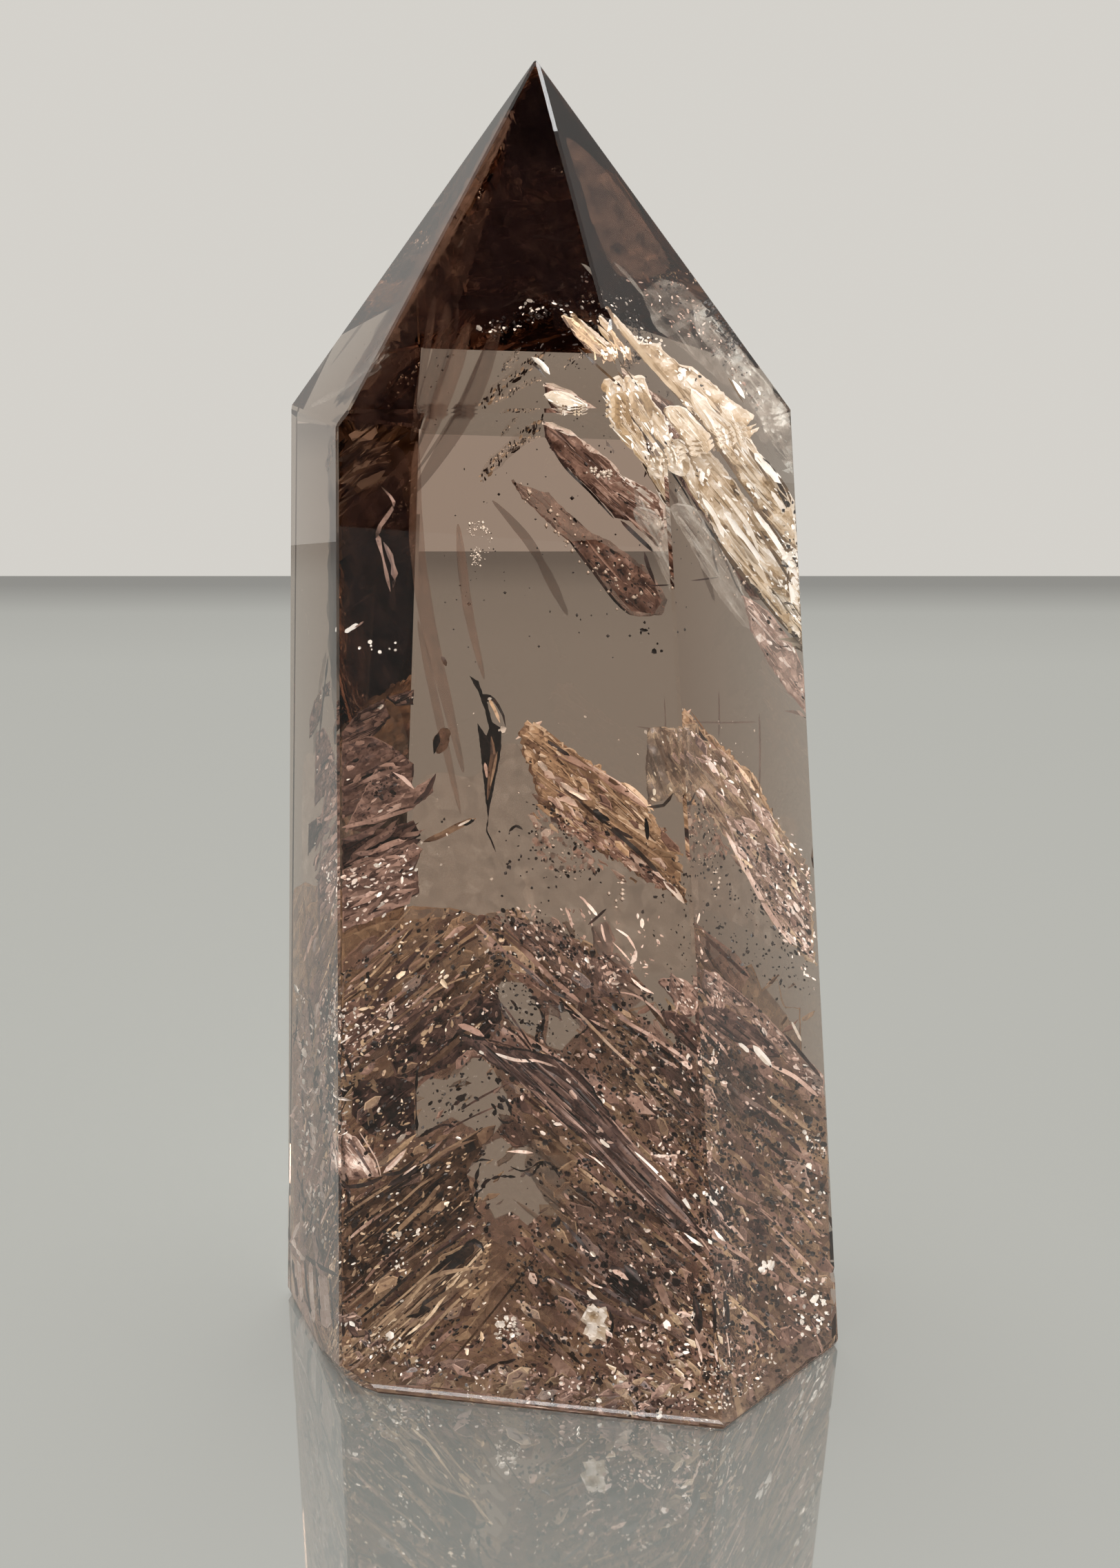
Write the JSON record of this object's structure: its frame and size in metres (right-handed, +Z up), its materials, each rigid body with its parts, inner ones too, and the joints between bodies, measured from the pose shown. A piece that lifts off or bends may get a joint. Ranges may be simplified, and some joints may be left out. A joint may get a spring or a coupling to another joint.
{
  "type": "skeletal quartz crystal",
  "caption": "Clear smoky skeletal quartz crystal, cut and polished as a standing point on a flat base, with cream, golden and brown inclusions sealed inside.",
  "frame": {"origin": "middle of the crystal's outline, on the surface that its flat base rests on", "axes": "+Z up along the crystal towards its point, broad front face towards -Y, +X to the viewer's right"},
  "size_m": [0.0386, 0.0326, 0.0851],
  "materials": {
    "clear_smoky_quartz": "polished flat faces of clear, faintly smoky quartz; see-through, with cloudy inclusions inside",
    "cream_blades": "cream and gold plates and thin blades, smooth with fine pale flecks, that grew under the point",
    "golden_bundle": "a bundle of golden-brown blades with black slits and pale glints",
    "brown_feathers": "half see-through brown layers with pale and dark edge lines, black specks and golden flecks",
    "pink_brown_flakes": "chunky pink-brown flakes by the left edge, with pale glints"
  },
  "bodies": {
    "root": {"crystal_front": "clear_smoky_quartz", "crystal_back": "clear_smoky_quartz", "upper_blades": "cream_blades", "golden_blades": "golden_bundle", "edge_flakes": "pink_brown_flakes", "cloud_layers": "brown_feathers"}
  },
  "joints": []
}
